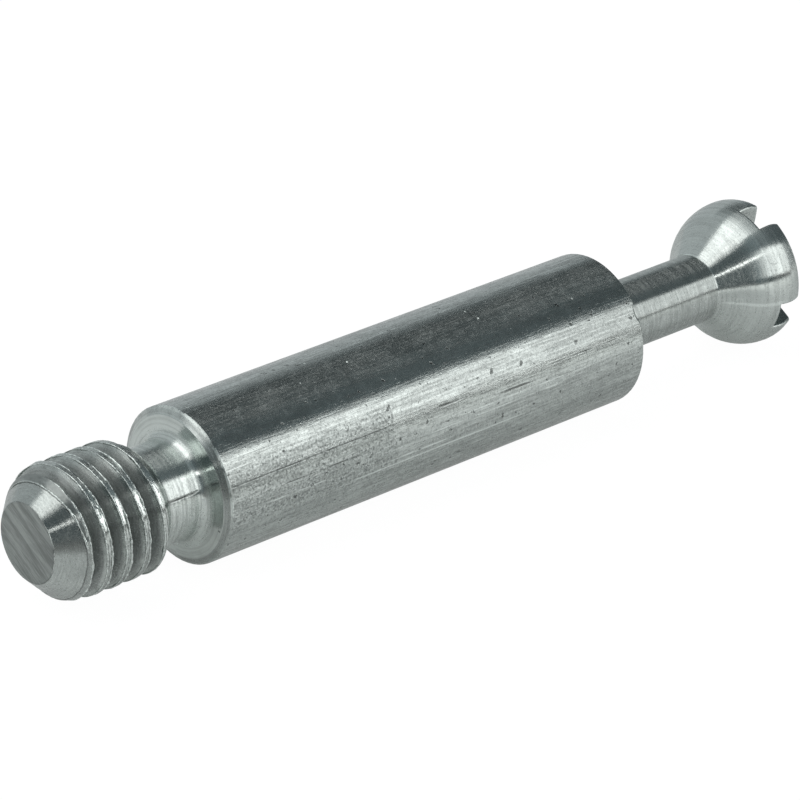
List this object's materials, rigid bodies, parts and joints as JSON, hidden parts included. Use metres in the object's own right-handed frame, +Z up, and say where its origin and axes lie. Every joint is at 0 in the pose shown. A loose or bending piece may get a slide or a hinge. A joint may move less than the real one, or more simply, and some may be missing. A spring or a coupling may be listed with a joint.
{
  "type": "connector bolt",
  "caption": "Turned steel furniture connector bolt: a threaded end with a relief groove and seat, a plain round shank, a thin neck and a ball head with a cross recess.",
  "frame": {"origin": "on the bolt's axis at the outer edge of the seat that stops it against the first panel", "axes": "+X runs along the bolt from the seat to the ball head, so the thread points to -X; +Z is up as the bolt lies on its shank; +Y completes the right-handed frame"},
  "size_m": [0.0428, 0.007, 0.007],
  "materials": {
    "steel": "turned bright steel with lengthwise draw marks, fine scratches and small pits"
  },
  "bodies": {
    "root": {"connector_bolt": "steel"}
  },
  "joints": []
}
